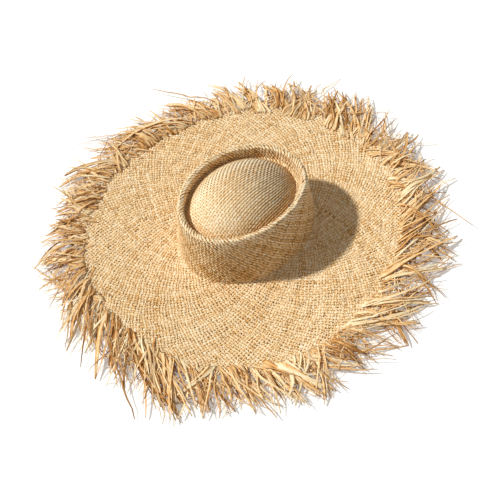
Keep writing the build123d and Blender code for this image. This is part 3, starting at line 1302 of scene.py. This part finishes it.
def stitch_rows(name: str, places: Array, headings: Array, normals: Array,
                length: float, thread: float, material: Material) -> Object:
    """Row of stitches, each a short arched length of thread.

    Args:
        name: name of the piece.
        places: middle of each stitch on the cloth.
        headings: direction that each stitch runs in.
        normals: direction off the cloth.
        length: length of a stitch.
        thread: thickness of the thread.
        material: finish of the thread.

    Returns:
        The new object.
    """
    share = np.linspace(-1, 1, 7)
    arch = thread * (0.62 * (1 - share**4) - 0.12)
    centres = (places[:, None] + headings[:, None] * (share * length / 2)[None, :, None]
               + normals[:, None] * arch[None, :, None])
    widths = np.broadcast_to(thread * (1.1 - 0.5 * share**4), centres.shape[:2])
    mesh = StrandMesh(name)
    mesh.add(centres, np.broadcast_to(normals[:, None], centres.shape), widths,
             thread * 0.9, np.full(len(places), 0.3))
    return mesh.build(material)


@dataclass
class EdgeStitches:
    """Lock stitches on the brim, just inside the woven edge."""

    weave: RingWeave
    count: int = 180
    inset: float = 5.0 * MM
    length: float = 4.6 * MM
    thread: float = 0.5 * MM

    def build(self, material: Material) -> Object:
        """Make and dress the stitches."""
        form = self.weave.form
        turn = np.arange(self.count) / self.count
        run = np.full(self.count, form.borders["edge"] - self.inset)
        normals = form.normal(run, turn)
        top = self.weave.swing + self.weave.thickness / 2
        places = form.point(run, turn) + normals * top
        headings = unit(form.point(run, turn + 1e-3) - form.point(run, turn - 1e-3))
        piece = stitch_rows("brim_lock_stitches", places, headings, normals, self.length,
                            self.thread, material)
        return dress(piece, "straw_thread", "brim_edge_stitches")


@dataclass
class Sweatband:
    """Cotton tape sewn round the inside of the head opening, with its seam cover and tab."""

    form: HatForm
    thickness: float = 0.8 * MM
    clearance: float = 0.3 * MM
    stitch_count: int = 110
    stitch_length: float = 3.0 * MM
    stitch_inset: float = 3.0 * MM
    thread: float = 0.5 * MM
    edge_wave: float = 0.25 * MM
    tab_thickness: float = 0.5 * MM
    seam_width: float = 20.0 * MM
    across: int = 14
    around: int = 180

    def __post_init__(self) -> None:
        """Read the band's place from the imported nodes."""
        low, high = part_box("sweatband")
        wall_low, wall_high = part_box("crown_side_wall")
        rim_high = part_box("crown_rolled_rim")[1]
        self.low, self.high = low[2], high[2]
        self.foot = (wall_high[0], wall_high[1], wall_low[2])
        self.top = (rim_high[0], rim_high[1], wall_high[2])

    def wall(self, height: Array, inset: Array | float) -> tuple[Array, Array]:
        """Half-lengths of the side wall at a height, less an inset."""
        share = (height - self.foot[2]) / (self.top[2] - self.foot[2])
        return tuple(low + share * (high - low) - inset
                     for low, high in zip(self.foot[:2], self.top[:2]))

    def at_back(self, node: str) -> tuple[float, float]:
        """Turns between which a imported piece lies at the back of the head."""
        low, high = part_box(node)
        half = (high[0] - low[0]) / 2 / self.foot[0] / TAU
        return 0.25 - half, 0.25 + half

    def strip(self, name: str, start: float, end: float, inset: float, thick: float,
              low: float, high: float, wave: float,
              material: Material) -> Object:
        """Closed strip of tape that follows the inside of the wall.

        Args:
            name: name of the piece.
            start: turn at which it begins.
            end: turn at which it ends.
            inset: from the wall's outside to the strip's outer face.
            thick: thickness of the tape.
            low: height of its lower edge.
            high: height of its upper edge.
            wave: how far its edges wander up and down.
            material: finish.

        Returns:
            The new object.
        """
        whole = abs(end - start) >= 1
        columns = max(8, int(self.around * min(1, abs(end - start))))
        turn = np.linspace(start, end, columns, endpoint=not whole)
        angle = turn * TAU
        v = np.linspace(0, 1, self.across)
        edge = np.minimum(v, 1 - v)[None]
        height = low + (high - low) * v[None] + wave * np.sin(9 * angle)[:, None] * (2 * v[None] - 1)
        rounding = thick * 0.5 * np.exp(-edge * 40)
        faces_in = []
        for depth in (inset + rounding, inset + thick - rounding):
            short, long = self.wall(height, depth)
            x, y = short * np.cos(angle)[:, None], long * np.sin(angle)[:, None]
            faces_in.append(np.stack([x, y, height], axis=-1))
        outer, inner = faces_in
        loop = np.concatenate([outer, inner[:, ::-1]], axis=1)
        count, sides, _ = loop.shape
        spots = np.arange((count + whole) * sides).reshape(-1, sides)
        here, follow = spots[:-1], spots[1:]
        quads = np.stack([here, np.roll(here, -1, axis=1), np.roll(follow, -1, axis=1), follow],
                         axis=-1).reshape(-1, 4)
        faces = [quads] if whole else [quads, np.stack([spots[0, ::-1], spots[-1]])]
        row, column = np.divmod(np.concatenate([group.ravel() for group in faces]), sides)
        length = float(oval_length(*self.foot[:2])) * abs(end - start)
        lateral = np.concatenate([v, v[::-1]]) * (high - low)
        layers = {
            "OFBake": np.column_stack([row / (count + 1), (column + 0.5) / (sides + 1)]),
            "strand": np.column_stack([row / count * length, lateral[column]]),
        }
        joined = [group % (count * sides) for group in faces]
        return mesh_object(name, loop.reshape(-1, 3), joined, layers, material)

    def build(self, tape: Material, thread: Material,
              tab: Material) -> list[Object]:
        """Make and dress the band, its seam cover, its stitches and the blank tab."""
        thick, low, high = self.thickness, self.low, self.high
        inset = self.form.straw + self.clearance
        cover_inset = inset + thick + self.clearance
        tab_inset = cover_inset + thick + self.tab_thickness
        tab_low, tab_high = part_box("size_tab")
        band = self.strip("sweatband_tape", 0, 1, inset, thick, low, high, self.edge_wave, tape)
        cover = self.strip("sweatband_seam_cover", *self.at_back("sweatband_back_seam"),
                           cover_inset, thick, low, high, 0.0, tape)
        label = self.strip("blank_size_tab", *self.at_back("size_tab"), tab_inset,
                           self.tab_thickness, tab_low[2], tab_high[2], 0.0, tab)
        angle = TAU * (np.arange(self.stitch_count) + 0.5) / self.stitch_count
        beside = np.abs(self.foot[0] * np.cos(angle)) > self.seam_width / 2
        angle = angle[(np.sin(angle) < 0) | beside]
        height = np.full(len(angle), low + self.stitch_inset)
        short, long = self.wall(height, inset + thick + 0.1 * MM)
        places = np.stack([short * np.cos(angle), long * np.sin(angle), height], axis=-1)
        headings = unit(np.stack([-short * np.sin(angle), long * np.cos(angle), 0 * angle], axis=-1))
        seams = stitch_rows("sweatband_thread", places, headings, np.cross(UP, headings),
                            self.stitch_length, self.thread, thread)
        for piece, slot, node in ((band, "cotton_tape", "sweatband"),
                                  (cover, "cotton_tape", "sweatband_back_seam"),
                                  (seams, "cotton_thread", "sweatband_stitches"),
                                  (label, "tab_cloth", "size_tab")):
            dress(piece, slot, node)
        return [band, cover, seams, label]


# ---- Studio ----


@dataclass
class Studio:
    """Pale floor, one soft key light, a low fill from the room, and the camera."""

    elevation: float = 54.7
    azimuth: float = 54.7
    distance: float = 1.6
    lens: float = 84.38
    roll: float = -7.8
    aim_right: float = -0.0003
    aim_away: float = -0.0361
    key_strength: float = 3.1
    key_softness: float = 4.0
    key_colour: Colour = (1.0, 0.985, 0.955)
    key_travel: tuple[float, float, float] = (0.885, -0.167, -1.0)
    fill_strength: float = 0.28
    fill_colour: Colour = (1.0, 0.97, 0.93)
    floor_half: float = 4.0
    floor_drop: float = 0.3 * MM
    floor_colour: Colour = (0.72, 0.71, 0.70)
    floor_white: float = 1.15
    floor_glow: float = 0.3
    glow_colour: Colour = (1.0, 0.985, 0.96)

    def _turned(self, right: float, away: float, up: float) -> Vector:
        """Row-frame vector from camera-wise right, away and up."""
        angle = math.radians(self.azimuth)
        x = right * math.cos(angle) - away * math.sin(angle)
        y = right * math.sin(angle) + away * math.cos(angle)
        return Vector((x, y, up))

    def camera(self) -> Object:
        """Place the camera and make it the scene's."""
        rise = math.radians(self.elevation)
        back = self._turned(0.0, -math.cos(rise), math.sin(rise))
        right = self._turned(1.0, 0.0, 0.0)
        data = bpy.data.cameras.new("camera")
        data.lens = self.lens
        data.sensor_width = 36.0
        data.clip_start, data.clip_end = 0.05, 30.0
        basis = Matrix((right, back.cross(right), back)).transposed().to_4x4()
        basis = basis @ Matrix.Rotation(math.radians(self.roll), 4, "Z")
        basis.translation = self._turned(self.aim_right, self.aim_away, 0.0) + back * self.distance
        made = linked("camera", data)
        made.matrix_world = basis
        bpy.context.scene.camera = made
        return made

    def lights(self) -> None:
        """Place the key light and set the room's light, white behind the hat."""
        data = bpy.data.lights.new("key", "SUN")
        data.energy = self.key_strength
        data.angle = math.radians(self.key_softness)
        data.color = self.key_colour
        key = linked("key", data)
        key.rotation_mode = "QUATERNION"
        travel = self._turned(*self.key_travel).normalized()
        key.rotation_quaternion = (-travel).to_track_quat("Z", "Y")
        world = bpy.data.worlds.new("room")
        bpy.context.scene.world = world
        world.use_nodes = True
        table = NodeTable(world.node_tree)
        seen = self._seen(table)
        colours = {"Factor": seen, "A": (*self.fill_colour, 1), "B": (1, 1, 1, 1)}
        table.feed(world.node_tree.nodes["Background"], {
            "Color": table.add("ShaderNodeMix", colours, data_type="RGBA").outputs["Result"],
            "Strength": table.maths("MULTIPLY_ADD", seen, 1 - self.fill_strength,
                                    self.fill_strength),
        })

    @staticmethod
    def _seen(table: NodeTable) -> NodeSocket:
        """1 for the camera and for what is seen in gloss or glass, 0 for light on the hat."""
        rays = table.add("ShaderNodeLightPath").outputs
        gloss = table.maths("MAXIMUM", rays["Is Glossy Ray"], rays["Is Transmission Ray"])
        return table.maths("MAXIMUM", rays["Is Camera Ray"], gloss)

    @staticmethod
    def _way_out(table: NodeTable) -> NodeSocket:
        """How far out a place on the floor lies, as a share of the way to the woven edge."""
        low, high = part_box("brim")
        place = table.add("ShaderNodeTexCoord").outputs["Object"]
        shares = (2 / (high[0] - low[0]), 2 / (high[1] - low[1]), 0)
        scaled = table.add("ShaderNodeVectorMath", {0: place, 1: shares}, operation="MULTIPLY")
        length = table.add("ShaderNodeVectorMath", {0: scaled.outputs[0]}, operation="LENGTH")
        return length.outputs["Value"]

    def floor(self) -> Object:
        """Pale floor that stays white to the camera and keeps the hat's shadow."""
        material, table, shader = new_material("pale_floor")
        seen = self._seen(table)
        white = (self.floor_white - self.floor_glow,) * 3
        open_floor = table.maths("GREATER_THAN", self._way_out(table), 0.98)
        table.feed(shader, {
            "Base Color": table.ramp(seen, ((0.0, self.floor_colour), (1.0, white))),
            "Emission Color": (*self.glow_colour, 1),
            "Emission Strength": table.maths(
                "MULTIPLY", table.maths("MULTIPLY", seen, open_floor), self.floor_glow),
            "Roughness": 1.0,
            "Specular IOR Level": 0.0,
        })
        corners = np.array([(-1, -1, 0), (1, -1, 0), (1, 1, 0), (-1, 1, 0)]) * self.floor_half
        made = mesh_object("floor", corners, [np.array([[0, 1, 2, 3]])], {}, material)
        made.location.z = -self.floor_drop
        return made

    def build(self) -> None:
        """Set up everything that isn't the hat."""
        self.camera()
        self.lights()
        self.floor()
        bpy.context.scene.view_settings.view_transform = "Standard"


def main() -> None:
    """Build the hat and the studio around it."""
    Studio().build()
    weave_finish = WEAVE_FINISH.build()
    fringe_finish = FRINGE_FINISH.build()
    form = HatForm()
    weave = RingWeave(form)
    weave.build(weave_finish)
    DomeWeave(form).build(weave_finish)
    Fringe(weave).build(fringe_finish)
    EdgeStitches(weave).build(THREAD_FINISH.build())
    Sweatband(form).build(TAPE_FINISH.build(), COTTON_THREAD_FINISH.build(), TAB_FINISH.build())


if __name__ == "__main__":
    main()
